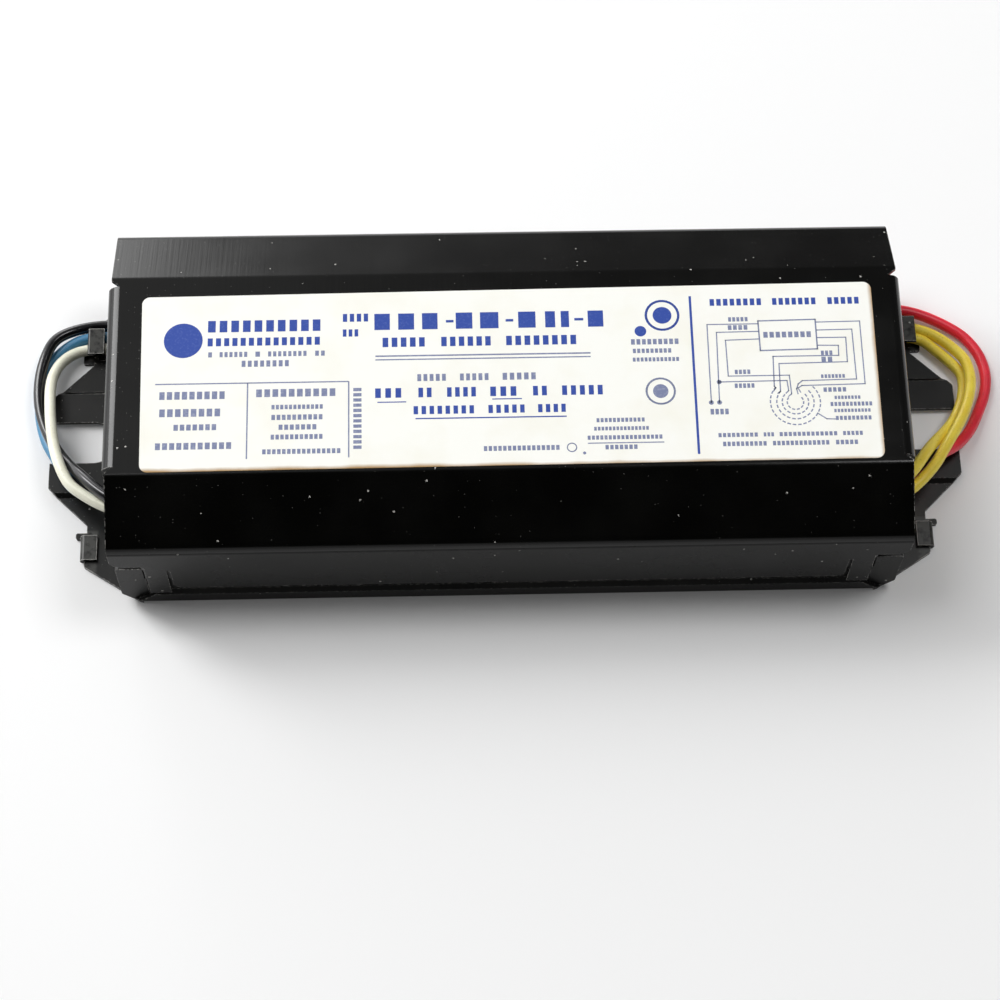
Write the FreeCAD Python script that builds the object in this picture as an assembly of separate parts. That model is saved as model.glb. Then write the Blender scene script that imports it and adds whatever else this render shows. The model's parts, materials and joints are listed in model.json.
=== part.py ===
import FreeCAD, Part
import math
import os

from FreeCAD import Vector

# Fluorescent lamp ballast: a folded steel cover on a stamped base plate, with
# the core, coils and capacitor potted inside and six leads at the two ends.
# X runs along the can, +Y is its rear side, Z is up, and the base lies on z = 0.
# All sizes are in millimetres.

# Can
can_length = 176.0
can_width = 79.0
can_height = 36.5
top_width = 48.4
slope_rise = 7.2
sheet = 0.9
shoulder_radius = 3.4
crease_radius = 2.4
fit_gap = 0.1

# Cover
flap_half_width = 22.2
flap_foot_half = 18.6
flap_taper_z0 = 19.0
flap_taper_z1 = 31.0
flap_out = 0.9
flap_radius = 3.0
flap_notch_depth = 1.8
skirt_end_z = 6.2
skirt_flap_z = 9.0
skirt_flap_radius = 2.2
slit_inset = 12.5
slit_width = 0.8
slit_top_z = 18.6
notch_inset = 7.3
notch_top_z = 21.0
notch_radius = 3.0

# Base plate
rim_height = 5.5
rim_inset = 8.8
rim_step = 1.0
lap_height = 12.0
rim_radius = 1.4
tab_inset = 6.8
tab_width = 6.3
tab_height = 17.5
tab_root = 4.0
corner_inset = 4.2

# Ears, their slots and lugs: lengths run outwards from the can's end
ear_length = 17.6
shoulder_out = 8.8
shoulder_side_inset = 8.7
diagonal_out = 8.4
diagonal_y = 20.5
platform_half = 12.6
platform_rise = 1.0
platform_out = 1.3
slot_half = 5.2
slot_out = 7.6
lug_out = 10.9
lug_inner_y = 20.9
front_lug_inner_y = 22.4
lug_outer_y = 23.9

# Wire clips
clip_out = 5.8
clip_width = 3.9
clip_root_y = 21.9
clip_length = 6.6
clip_root_width = 1.5
clip_edge_radius = 0.6
hem_y = 23.4
hem_length = 6.1
hem_gap = 0.3

# Label
label_left_inset = 7.0
label_right_inset = 6.0
label_front_inset = 0.7
label_rear_inset = 4.0
label_thickness = 0.12
label_radius = 1.8

# Core and coils
core_inset = 22.0
core_headroom = 21.5
core_side_room = 12.3
core_end_room = 101.0
window_width = 9.2
yoke = 9.0
gap_paper = 0.3
winding_build = 6.8
bobbin_wall = 1.0
bobbin_fit = 0.2
bobbin_flange = 1.0
coil_corner = 2.0
wrap_thickness = 0.35
wrap_fit = 0.05
primary_share = 0.49
secondary_share = 0.385
shunt_thickness = 4.0
shunt_gap = 0.4
coil_space = 1.0
coil_spare = 2.0

# Capacitor and small parts
capacitor_gap = 5.7
capacitor_length = 34.0
capacitor_side_room = 13.5
capacitor_z0 = 3.0
capacitor_headroom = 10.5
capacitor_corner = 6.0
capacitor_lid = 1.0
terminal_width = 4.8
terminal_length = 3.4
terminal_thickness = 0.8
terminal_spacing = 22.0
protector_length = 19.0
protector_width = 5.6
protector_height = 10.0
protector_inset = 16.0
resistor_diameter = 3.6
resistor_length = 10.0
liner_thickness = 0.25
splice_diameter = 3.4
splice_length = 9.0

# Potting
potting_recess = 6.5
potting_gap = 0.1

# Leads
lead_diameter = 2.6
lead_seat = 0.05

half_length = can_length / 2
half_width = can_width / 2
top_half = top_width / 2
slit_x = half_length - slit_inset
notch_x = half_length - notch_inset
rim_half_length = half_length - rim_inset
tab_x = half_length - tab_inset
base_corner_x = half_length - corner_inset
ear_reach = half_length + ear_length
shoulder_x = half_length + shoulder_out
shoulder_y = half_width - shoulder_side_inset
clip_x = half_length + clip_out
potting_end_x = half_length - potting_recess
flap_fold_x = half_length + flap_out - flap_radius
slope_run = half_width - top_half
shoulder_z = can_height - slope_rise
slope_angle = math.atan2(slope_rise, slope_run)
floor_z = sheet
flap_foot_z = platform_rise + sheet + fit_gap
lead_low_z = floor_z + lead_diameter / 2 + lead_seat
clip_top_z = floor_z + lead_diameter + 2 * lead_seat + sheet


# Shape helpers
def outline(points, radii=None):
    """Closed wire through the points, with each corner rounded to its radius."""
    count = len(points)
    radii = radii or [0] * count
    starts = []
    middles = []
    ends = []
    for index, corner in enumerate(points):
        to_last = (points[index - 1] - corner).normalize()
        to_next = (points[(index + 1) % count] - corner).normalize()
        radius = radii[index]
        if radius == 0:
            starts.append(corner)
            middles.append(None)
            ends.append(corner)
            continue
        half_angle = to_last.getAngle(to_next) / 2
        reach = radius / math.tan(half_angle)
        inward = (to_last + to_next).normalize()
        centre = corner + inward * (radius / math.sin(half_angle))
        starts.append(corner + to_last * reach)
        middles.append(centre - inward * radius)
        ends.append(corner + to_next * reach)
    edges = []
    for index in range(count):
        if middles[index] is not None:
            arc = Part.Arc(starts[index], middles[index], ends[index])
            edges.append(arc.toShape())
        following = starts[(index + 1) % count]
        if ends[index].distanceToPoint(following) > 1e-6:
            edges.append(Part.LineSegment(ends[index], following).toShape())
    return Part.Wire(edges)


def along_x(section, x0, x1, radii=None):
    """Solid with a (y, z) section from x0 to x1."""
    points = [Vector(x0, y, z) for y, z in section]
    return Part.Face(outline(points, radii)).extrude(Vector(x1 - x0, 0, 0))


def along_y(section, y0, y1, radii=None):
    """Solid with an (x, z) section from y0 to y1."""
    points = [Vector(x, y0, z) for x, z in section]
    return Part.Face(outline(points, radii)).extrude(Vector(0, y1 - y0, 0))


def along_z(section, z0, z1, radii=None):
    """Solid with an (x, y) section from z0 to z1."""
    points = [Vector(x, y, z0) for x, y in section]
    return Part.Face(outline(points, radii)).extrude(Vector(0, 0, z1 - z0))


def block(x0, x1, y0, y1, z0, z1):
    return Part.makeBox(x1 - x0, y1 - y0, z1 - z0, Vector(x0, y0, z0))


def joined(first, others):
    return first.multiFuse(others).removeSplitter()


def mirror_x(shape):
    return shape.mirror(Vector(0, 0, 0), Vector(1, 0, 0))


def mirror_y(shape):
    return shape.mirror(Vector(0, 0, 0), Vector(0, 1, 0))


# Section of the folded roof, its outer face moved inwards by a depth
def roof_section(depth, bottom_z):
    side = half_width - depth
    shoulder = shoulder_z - depth * math.tan((math.pi / 2 - slope_angle) / 2)
    crease = top_half - depth * math.tan(slope_angle / 2)
    top = can_height - depth
    section = [
        (side, bottom_z),
        (side, shoulder),
        (crease, top),
        (-crease, top),
        (-side, shoulder),
        (-side, bottom_z),
    ]
    bend = shoulder_radius - depth
    fold = crease_radius - depth
    return section, [0, bend, fold, fold, bend, 0]


# Cover: roof, skirts with slits and notches, and a bent-down flap at each end
def make_cover():
    outer_section, outer_radii = roof_section(0, skirt_end_z - 1)
    inner_section, inner_radii = roof_section(sheet, skirt_end_z - 2)
    outer = along_x(outer_section, -half_length, half_length, outer_radii)
    inner = along_x(inner_section, -half_length - 1, half_length + 1, inner_radii)
    shell = outer.cut(inner)
    slit_near = slit_x - slit_width / 2
    slit_far = slit_x + slit_width / 2
    slit_round = slit_width * 0.4
    right_side = [
        (slit_near, skirt_flap_z, skirt_flap_radius),
        (slit_near, slit_top_z, slit_round),
        (slit_far, slit_top_z, slit_round),
        (slit_far, skirt_end_z, 0),
        (notch_x, skirt_end_z, 0),
        (notch_x, notch_top_z, 0.6),
        (half_length, notch_top_z, notch_radius),
        (half_length, can_height + 1, 0),
    ]
    left_side = [(-x, z, radius) for x, z, radius in reversed(right_side)]
    elevation = right_side + left_side
    section = [(x, z) for x, z, radius in elevation]
    radii = [radius for x, z, radius in elevation]
    shell = shell.common(along_y(section, -half_width - 1, half_width + 1, radii))
    relief_cut = block(flap_fold_x, half_length + 1, -flap_half_width, flap_half_width,
                       can_height - sheet - 0.2, can_height + 1)
    notch_tip = (half_length - flap_notch_depth, flap_half_width)
    notch_end = half_length + flap_out + 1
    notch = along_z([notch_tip, (notch_end, flap_half_width - 0.2), (notch_end, top_half + 0.9)],
                    can_height - 2 * sheet, can_height + 1)
    for cut in (relief_cut, notch, mirror_y(notch)):
        shell = shell.cut(cut).cut(mirror_x(cut))
    flap = make_flap()
    return joined(shell, [flap, mirror_x(flap)])


def make_flap():
    """Flap bent down over the +X end, narrower at its foot, between the leads."""
    end = half_length + flap_out
    section = [
        (flap_fold_x, can_height),
        (end, can_height),
        (end, flap_foot_z),
        (end - sheet, flap_foot_z),
        (end - sheet, can_height - sheet),
        (flap_fold_x, can_height - sheet),
    ]
    flap = along_y(section, -flap_half_width, flap_half_width,
                   [0, flap_radius, 0, 0, flap_radius - sheet, 0])
    half = [
        (flap_foot_half, 0, 0),
        (flap_foot_half, flap_taper_z0, 3),
        (flap_half_width, flap_taper_z1, 3),
        (flap_half_width, can_height + 1, 0),
    ]
    front = half + [(-y, z, radius) for y, z, radius in reversed(half)]
    section = [(y, z) for y, z, radius in front]
    radii = [radius for y, z, radius in front]
    return flap.common(along_x(section, flap_fold_x - 1, end + 1, radii))


# Base plate: floor with stepped rims, corner tabs, ears and wire clips
def rim_section():
    outer = half_width
    inner = half_width - sheet
    lap_outer = half_width - rim_step
    lap_inner = lap_outer - sheet
    right_side = [
        (outer, 0, rim_radius),
        (outer, rim_height - rim_step / 2, 0),
        (lap_outer, rim_height + rim_step / 2, 0),
        (lap_outer, lap_height, 0),
        (lap_inner, lap_height, 0),
        (lap_inner, rim_height, 0),
        (inner, rim_height - rim_step, 0),
        (inner, floor_z, rim_radius - sheet),
    ]
    left_side = [(-y, z, radius) for y, z, radius in reversed(right_side)]
    return right_side + left_side


def ear_half(lug_inner):
    return [
        (base_corner_x - 1, half_width, 0),
        (base_corner_x, half_width - 0.3, 0),
        (shoulder_x, shoulder_y, 0.8),
        (shoulder_x, lug_outer_y, 0),
        (half_length + lug_out, lug_outer_y, 0.5),
        (half_length + lug_out, lug_inner, 0.5),
        (half_length + diagonal_out, lug_inner, 0),
        (half_length + diagonal_out, diagonal_y, 0),
        (ear_reach - 1.2, platform_half, 0.5),
        (ear_reach, platform_half - 1.2, 0.5),
    ]


def ear_blank():
    """Flat outline of one ear, on the +X side."""
    rear = ear_half(lug_inner_y)
    front = [(x, -y, radius) for x, y, radius in reversed(ear_half(front_lug_inner_y))]
    corners = rear + front
    section = [(x, y) for x, y, radius in corners]
    radii = [radius for x, y, radius in corners]
    return along_z(section, 0, platform_rise + sheet, radii)


def platform_solid(depth):
    """Raised mounting pad of the ear, its faces moved inwards by a depth."""
    top = platform_rise + sheet - depth
    shift = depth * math.tan(math.pi / 8)
    half = platform_half - shift
    start = half_length + platform_out + shift
    end = ear_reach + sheet
    low = -sheet
    fall = top - low
    across = along_x([(half + fall, low), (half, top), (-half, top), (-half - fall, low)],
                     start - fall - 1, end)
    lengthwise = along_y([(start - fall, low), (start, top), (end, top), (end, low)],
                         -half - fall - 1, half + fall + 1)
    return across.common(lengthwise)


def make_ear():
    flat = block(base_corner_x - sheet, ear_reach, -half_width, half_width, 0, sheet)
    ear = flat.fuse(platform_solid(0)).cut(platform_solid(sheet)).common(ear_blank())
    slot_x = half_length + slot_out
    depth = platform_rise + 3 * sheet
    slot = joined(
        block(slot_x, ear_reach + sheet, -slot_half, slot_half, -sheet, depth - sheet),
        [Part.makeCylinder(slot_half, depth, Vector(slot_x, 0, -sheet))],
    )
    return ear.cut(slot)


# Clip over the leads: a strip turned up beside the lug and folded over
def lead_clip():
    plate_top = [
        (clip_x, clip_top_z),
        (clip_x + clip_width, clip_top_z),
        (clip_x + clip_width, clip_top_z - sheet),
        (clip_x, clip_top_z - sheet),
    ]
    plate = along_y(plate_top, clip_root_y, clip_root_y + clip_length,
                    [0, clip_edge_radius, 0, 0])
    root = block(clip_x, clip_x + clip_root_width, clip_root_y, clip_root_y + sheet,
                 floor_z / 2, clip_top_z - sheet / 2)
    return joined(plate, [root])


# Hem clip: a finger of the ear folded back flat on itself
def hem_clip():
    roll = sheet + hem_gap / 2
    top = 2 * roll
    end = clip_x + clip_width
    outer = along_y([(clip_x - 0.6, 0), (end, 0), (end, top), (clip_x, top), (clip_x, floor_z),
                     (clip_x - 0.6, floor_z)],
                    hem_y, hem_y + hem_length, [0, roll - 0.01, roll - 0.01, 0, 0, 0])
    slot = block(clip_x - 1, end - roll, hem_y - 1, hem_y + hem_length + 1,
                 sheet, sheet + hem_gap)
    return outer.cut(slot)


def corner_tab():
    tab_end = tab_x + tab_width
    section = [
        (tab_x, floor_z / 2),
        (tab_x + tab_root, floor_z / 2),
        (tab_end, floor_z / 2 + 3),
        (tab_end, tab_height),
        (tab_x, tab_height),
    ]
    outer = half_width - rim_step
    return along_y(section, outer - sheet, outer, [0, 0, 1, 0.8, 0.8])


def make_base_plate():
    rim = rim_section()
    body = along_x([(y, z) for y, z, radius in rim], -base_corner_x, base_corner_x,
                   [radius for y, z, radius in rim])
    right_side = [
        (base_corner_x, -1),
        (base_corner_x, floor_z),
        (rim_half_length, rim_height),
        (rim_half_length, lap_height + 1),
    ]
    elevation = right_side + [(-x, z) for x, z in reversed(right_side)]
    body = body.common(along_y(elevation, -half_width - 1, half_width + 1))
    ear = make_ear()
    pieces = [ear, mirror_x(ear)]
    front_hem = mirror_y(hem_clip())
    for piece in (lead_clip(), front_hem, corner_tab(), mirror_y(corner_tab())):
        pieces.append(piece)
        pieces.append(mirror_x(piece))
    return joined(body, pieces)


# Rating label on the top panel
def make_label():
    left = -half_length + label_left_inset
    right = half_length - label_right_inset
    front = -top_half + label_front_inset
    rear = top_half - label_rear_inset
    corners = [(left, front), (right, front), (right, rear), (left, rear)]
    return along_z(corners, can_height, can_height + label_thickness, [label_radius] * 4)


# Core: an E stack and an I stack, with a gap paper and two shunts
core_middle_z = (floor_z + can_height - sheet) / 2
stack_height = can_height - core_headroom
stack_low = core_middle_z - stack_height / 2
stack_high = core_middle_z + stack_height / 2
core_half = half_width - core_side_room
centre_leg_half = (core_half - window_width) / 2
core_x0 = -half_length + core_inset
window_length = can_length - core_end_room
window_x0 = core_x0 + yoke
window_x1 = window_x0 + window_length
closing_x0 = window_x1 + gap_paper
closing_x1 = closing_x0 + yoke
coil_room = window_length - shunt_thickness - 4 * coil_space - coil_spare
primary_length = primary_share * coil_room
secondary_length = secondary_share * coil_room
filament_length = coil_room - primary_length - secondary_length
primary_x0 = window_x0 + coil_space
shunt_x0 = primary_x0 + primary_length + coil_space
secondary_x0 = shunt_x0 + shunt_thickness + coil_space
filament_x0 = secondary_x0 + secondary_length + coil_space


def make_e_stack(grow=0.0):
    body = block(core_x0 - grow, window_x1 + grow, -core_half - grow, core_half + grow,
                 stack_low - grow, stack_high + grow)
    window = block(window_x0 + grow, window_x1 + 1, centre_leg_half + grow,
                   centre_leg_half + window_width - grow, stack_low - 1, stack_high + 1)
    return body.cut(window).cut(mirror_y(window))


def make_i_stack(grow=0.0):
    return block(closing_x0 - grow, closing_x1 + grow, -core_half - grow, core_half + grow,
                 stack_low - grow, stack_high + grow)


def make_gap_paper():
    return block(window_x1, closing_x0, -core_half, core_half, stack_low, stack_high)


def make_shunts(grow=0.0):
    near = centre_leg_half + shunt_gap - grow
    far = centre_leg_half + window_width - shunt_gap + grow
    shunt = block(shunt_x0 - grow, shunt_x0 + shunt_thickness + grow, near, far,
                  stack_low - grow, stack_high + grow)
    return Part.makeCompound([shunt, mirror_y(shunt)])


# Coils: each a bobbin on the centre leg, its winding and its paper wrap
bobbin_half = centre_leg_half + bobbin_fit
bobbin_high = stack_height / 2 + bobbin_fit


def ring(x0, x1, inner_grow, outer_grow, corner):
    """Rectangular ring around the centre leg between two growths of its section."""
    inner_y = bobbin_half + inner_grow
    inner_z = bobbin_high + inner_grow
    outer_y = bobbin_half + outer_grow
    outer_z = bobbin_high + outer_grow
    outside = [(outer_y, outer_z), (-outer_y, outer_z), (-outer_y, -outer_z), (outer_y, -outer_z)]
    inside = [(inner_y, inner_z), (-inner_y, inner_z), (-inner_y, -inner_z), (inner_y, -inner_z)]
    outside = [(y, z + core_middle_z) for y, z in outside]
    inside = [(y, z + core_middle_z) for y, z in inside]
    return along_x(outside, x0, x1, [corner] * 4).cut(along_x(inside, x0 - 1, x1 + 1))


def make_bobbin(x0, length):
    tube = ring(x0, x0 + length, 0, bobbin_wall, 0.4)
    flange = ring(x0, x0 + bobbin_flange, 0, winding_build - 0.4, coil_corner)
    far_flange = flange.translated(Vector(length - bobbin_flange, 0, 0))
    return joined(tube, [flange, far_flange])


def make_winding(x0, length):
    start = x0 + bobbin_flange + wrap_fit
    end = x0 + length - bobbin_flange - wrap_fit
    return ring(start, end, bobbin_wall + wrap_fit, winding_build, coil_corner)


def make_wrap(x0, length):
    start = x0 + bobbin_flange + wrap_fit
    end = x0 + length - bobbin_flange - wrap_fit
    inner = winding_build + wrap_fit
    outer = inner + wrap_thickness
    y_in, z_in = bobbin_half + inner, bobbin_high + inner
    y_out, z_out = bobbin_half + outer, bobbin_high + outer
    shell = along_x([(y_out, core_middle_z + z_out), (-y_out, core_middle_z + z_out),
                     (-y_out, core_middle_z - z_out), (y_out, core_middle_z - z_out)],
                    start, end, [coil_corner + wrap_thickness] * 4)
    hole = along_x([(y_in, core_middle_z + z_in), (-y_in, core_middle_z + z_in),
                    (-y_in, core_middle_z - z_in), (y_in, core_middle_z - z_in)],
                   start - 1, end + 1, [coil_corner] * 4)
    return shell.cut(hole)


def coil_envelope(x0, length):
    """Space that a whole coil takes in the potting."""
    outer = winding_build + wrap_fit + wrap_thickness + potting_gap
    y_out, z_out = bobbin_half + outer, bobbin_high + outer
    return block(x0 - potting_gap, x0 + length + potting_gap, -y_out, y_out,
                 core_middle_z - z_out, core_middle_z + z_out)


# Capacitor: an oil-filled can with a lid and two terminals on a card
capacitor_x0 = closing_x1 + capacitor_gap
capacitor_width = can_width - 2 * capacitor_side_room
capacitor_height = can_height - capacitor_headroom


def make_capacitor(grow=0.0):
    x0 = capacitor_x0 - grow
    x1 = capacitor_x0 + capacitor_length + grow
    half = capacitor_width / 2 + grow
    corners = [(x0, -half), (x1, -half), (x1, half), (x0, half)]
    return along_z(corners, capacitor_z0 - grow, capacitor_z0 + capacitor_height + grow,
                   [capacitor_corner] * 4)


capacitor_top = capacitor_z0 + capacitor_height
lid_inset = 2.0


def make_capacitor_card():
    x0 = capacitor_x0 + lid_inset
    x1 = capacitor_x0 + capacitor_length - lid_inset
    half = capacitor_width / 2 - lid_inset
    corners = [(x0, -half), (x1, -half), (x1, half), (x0, half)]
    card = along_z(corners, capacitor_top, capacitor_top + capacitor_lid,
                   [capacitor_corner - lid_inset] * 4)
    for terminal in terminal_blades(fit_gap).Solids:
        card = card.cut(terminal)
    return card


def terminal_blades(grow=0.0):
    middle = capacitor_x0 + capacitor_length / 2
    blades = []
    for side in (-1, 1):
        y = side * terminal_spacing / 2
        blades.append(block(middle - terminal_width / 2 - grow, middle + terminal_width / 2 + grow,
                            y - terminal_thickness / 2 - grow, y + terminal_thickness / 2 + grow,
                            capacitor_top, capacitor_top + terminal_length + grow))
    return Part.makeCompound(blades)


def make_resistor(grow=0.0):
    middle = capacitor_x0 + capacitor_length / 2 - 8
    radius = resistor_diameter / 2 + grow
    z = capacitor_top + capacitor_lid + resistor_diameter / 2 + fit_gap
    start = Vector(middle, -resistor_length / 2 - grow, z)
    return Part.makeCylinder(radius, resistor_length + 2 * grow, start, Vector(0, 1, 0))


# Thermal protector, seated against the side of the core
def make_protector(grow=0.0):
    y0 = core_half + potting_gap
    protector_x0 = core_x0 + protector_inset
    return block(protector_x0 - grow, protector_x0 + protector_length + grow,
                 y0 - grow, y0 + protector_width + grow,
                 core_middle_z - protector_height / 2 - grow,
                 core_middle_z + protector_height / 2 + grow)


# Insulating sheet on the floor of the base
def make_liner():
    inner = half_width - rim_step - sheet - 1
    z0 = floor_z + fit_gap
    return block(-potting_end_x, potting_end_x, -inner, inner, z0, z0 + liner_thickness)


# Leads: each leaves the potting at a front corner and is tucked in at the rear.
# A route starts with its end of the can, and its points give the distance
# beyond that end, y and z.
lead_routes = {
    "white_lead": (-1, [
        (-6.5, -22.7, 11.9),
        (0.2, -22.7, 11.9),
        (9.4, -17.0, 11.9),
        (11.9, -14.3, 11.6),
        (14.1, -9.3, 11.1),
        (15.8, -3.6, 10.0),
        (16.9, 3.5, 8.4),
        (17.6, 10.4, 6.3),
        (17.7, 16.4, 4.4),
        (15.2, 21.6, 3.0),
        (10.0, 24.6, lead_low_z),
        (1.6, 24.2, lead_low_z),
        (-6.5, 24.2, lead_low_z),
    ]),
    "black_lead": (-1, [
        (-6.5, -22.5, 16.0),
        (0.2, -22.5, 16.0),
        (8.2, -13.6, 13.4),
        (11.7, -9.4, 9.0),
        (15.1, -4.7, 7.6),
        (18.0, 1.0, 5.3),
        (19.8, 6.3, 4.4),
        (20.6, 11.2, 4.2),
        (20.4, 17.3, 4.3),
        (19.0, 22.6, 4.4),
        (17.1, 27.4, 3.7),
        (7.5, 30.8, lead_low_z),
        (1.6, 30.2, lead_low_z),
        (-6.5, 30.2, lead_low_z),
    ]),
    "blue_lead": (-1, [
        (-6.5, -21.0, 8.9),
        (0.2, -21.0, 8.9),
        (10.0, -15.8, 9.0),
        (12.5, -12.6, 7.9),
        (15.0, -6.2, 4.7),
        (17.8, -1.7, 3.1),
        (19.3, 2.4, lead_low_z),
        (20.5, 7.8, 1.4),
        (20.6, 13.6, 1.4),
        (20.5, 19.5, 1.4),
        (13.4, 26.3, lead_low_z),
        (8.2, 27.4, lead_low_z),
        (1.6, 27.3, lead_low_z),
        (-6.5, 27.3, lead_low_z),
    ]),
    "red_lead": (1, [
        (-6.5, -22.2, 9.6),
        (0.2, -22.2, 9.6),
        (9.7, -13.8, 9.1),
        (12.0, -8.7, 8.1),
        (15.8, -6.7, 5.1),
        (20.3, -1.6, 3.2),
        (22.6, 3.4, 2.0),
        (24.6, 7.6, 1.4),
        (26.0, 12.6, 1.4),
        (25.3, 18.6, 1.4),
        (22.4, 23.4, 1.4),
        (19.4, 26.2, 1.5),
        (9.3, 31.6, lead_low_z),
        (1.6, 31.7, lead_low_z),
        (-6.5, 31.7, lead_low_z),
    ]),
    "yellow_lead_a": (1, [
        (-6.5, -23.6, 12.8),
        (0.2, -23.6, 12.8),
        (9.0, -15.1, 12.1),
        (11.4, -10.7, 11.3),
        (14.3, -6.1, 10.4),
        (17.6, -0.5, 8.1),
        (19.9, 4.9, 6.8),
        (21.4, 10.5, 5.6),
        (21.0, 16.0, 4.6),
        (19.7, 19.1, 3.2),
        (12.1, 27.2, lead_low_z),
        (1.6, 26.9, lead_low_z),
        (-6.5, 26.9, lead_low_z),
    ]),
    "yellow_lead_b": (1, [
        (-6.5, -22.4, 17.2),
        (0.2, -22.4, 17.2),
        (7.2, -11.7, 15.0),
        (10.6, -6.8, 9.6),
        (14.7, -2.2, 6.9),
        (17.6, 2.6, 4.4),
        (19.6, 7.8, 3.2),
        (20.1, 12.4, 2.5),
        (19.7, 14.8, 2.4),
        (13.2, 21.4, lead_low_z),
        (10.5, 24.3, lead_low_z),
        (1.6, 24.2, lead_low_z),
        (-6.5, 24.2, lead_low_z),
    ]),
}


def lead_points(name):
    side, route = lead_routes[name]
    return [Vector(side * (half_length + out), y, z) for out, y, z in route]


def lead_path(points):
    """Straight runs joined by tangent arcs, with the radii and the length."""
    edges = []
    radii = []
    here = points[0]
    for index in range(1, len(points) - 1):
        corner = points[index]
        to_last = points[index - 1] - corner
        to_next = points[index + 1] - corner
        shorter = min(to_last.Length, to_next.Length)
        half_turn = (math.pi - to_last.getAngle(to_next)) / 2
        radius = 0.45 * shorter / math.tan(half_turn)
        radii.append(radius)
        to_last.normalize()
        to_next.normalize()
        reach = 0.45 * shorter
        start = corner + to_last * reach
        end = corner + to_next * reach
        inward = (to_last + to_next).normalize()
        middle = corner + inward * (radius / math.cos(half_turn) - radius)
        edges.append(Part.LineSegment(here, start).toShape())
        edges.append(Part.Arc(start, middle, end).toShape())
        here = end
    edges.append(Part.LineSegment(here, points[-1]).toShape())
    return Part.Wire(edges), radii


def make_lead(name):
    points = lead_points(name)
    path, radii = lead_path(points)
    direction = (points[1] - points[0]).normalize()
    circle = Part.Wire([Part.makeCircle(lead_diameter / 2, points[0], direction)])
    tube = path.makePipeShell([circle], True, False)
    expected = math.pi * lead_diameter ** 2 / 4 * path.Length
    print(name, "length", round(path.Length, 1), "radii", [round(radius, 1) for radius in radii],
          "volume ratio", round(tube.Volume / expected, 4))
    return tube


# Splices: one crimped sleeve on each lead's inner end
def make_splices(grow=0.0):
    sleeves = []
    for name in lead_routes:
        start = lead_points(name)[0]
        inward = Vector(-lead_routes[name][0], 0, 0)
        length = splice_length + grow
        sleeves.append(Part.makeCylinder(splice_diameter / 2 + grow, length, start, inward))
    return sleeves


# Potting: fills the can around everything that it holds
def make_potting():
    depth = sheet + potting_gap
    section, radii = roof_section(depth, floor_z + potting_gap)
    inner_side = half_width - rim_step - sheet - potting_gap
    lower = block(-half_length, half_length, -inner_side, inner_side, 0, lap_height + 2)
    upper = block(-half_length, half_length, -half_width, half_width, lap_height + fit_gap,
                  can_height)
    room = along_x(section, -half_length, half_length, radii).common(lower.fuse(upper))
    middle = block(-potting_end_x, potting_end_x, -half_width, half_width, 0, can_height)
    end_x = half_length - flap_radius
    end_half = flap_foot_half - 0.5
    ends = block(-end_x, end_x, -end_half, end_half, 0, can_height)
    filling = room.common(middle.fuse(ends)).removeSplitter()
    liner = make_liner()
    liner_box = liner.BoundBox
    held = [
        make_e_stack(potting_gap),
        make_i_stack(potting_gap),
        block(window_x0, window_x1, -centre_leg_half, centre_leg_half, stack_low, stack_high),
        block(window_x1 - 1, closing_x0 + 1, -core_half, core_half, stack_low, stack_high),
        coil_envelope(primary_x0, primary_length),
        coil_envelope(secondary_x0, secondary_length),
        coil_envelope(filament_x0, filament_length),
        make_capacitor(potting_gap),
        make_protector(potting_gap),
        make_resistor(potting_gap),
        block(-half_length, half_length, liner_box.YMin - potting_gap,
              liner_box.YMax + potting_gap, 0, liner_box.ZMax),
    ]
    held += make_shunts(potting_gap).Solids
    held += terminal_blades(potting_gap).Solids
    held += make_splices(potting_gap)
    card = make_capacitor_card().BoundBox
    held.append(block(card.XMin - potting_gap, card.XMax + potting_gap, card.YMin - potting_gap,
                      card.YMax + potting_gap, card.ZMin - potting_gap, card.ZMax + potting_gap))
    for piece in held:
        filling = filling.cut(piece)
    solids = sorted(filling.Solids, key=lambda solid: solid.Volume)
    return solids[-1]


def export(name, shape):
    if not shape.isValid():
        raise ValueError(name + " isn't a valid shape")
    print(name, "solids", len(shape.Solids), "volume", round(shape.Volume / 1000, 2), "cm3")
    shape.exportStep("parts/" + name + ".step")


os.makedirs("parts", exist_ok=True)

export("cover", make_cover())
export("base_plate", make_base_plate())
export("rating_label", make_label())
export("core_e_stack", make_e_stack())
export("core_i_stack", make_i_stack())
export("core_gap_paper", make_gap_paper())
export("magnetic_shunts", make_shunts())
coils = {
    "primary": (primary_x0, primary_length),
    "secondary": (secondary_x0, secondary_length),
    "filament": (filament_x0, filament_length),
}
for coil, place in coils.items():
    export(coil + "_bobbin", make_bobbin(*place))
    export(coil + "_winding", make_winding(*place))
    export(coil + "_wrap", make_wrap(*place))
export("capacitor", make_capacitor())
export("capacitor_card", make_capacitor_card())
export("capacitor_terminals", terminal_blades())
export("bleed_resistor", make_resistor())
export("thermal_protector", make_protector())
export("floor_liner", make_liner())
export("lead_splices", Part.makeCompound(make_splices()))
for lead in lead_routes:
    export(lead, make_lead(lead))
export("potting", make_potting())
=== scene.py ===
"""Magnetic ballast for fluorescent lamps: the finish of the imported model, for Blender 4.5."""
import json
import math

import bmesh
import bpy
from mathutils import Matrix, Vector

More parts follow.
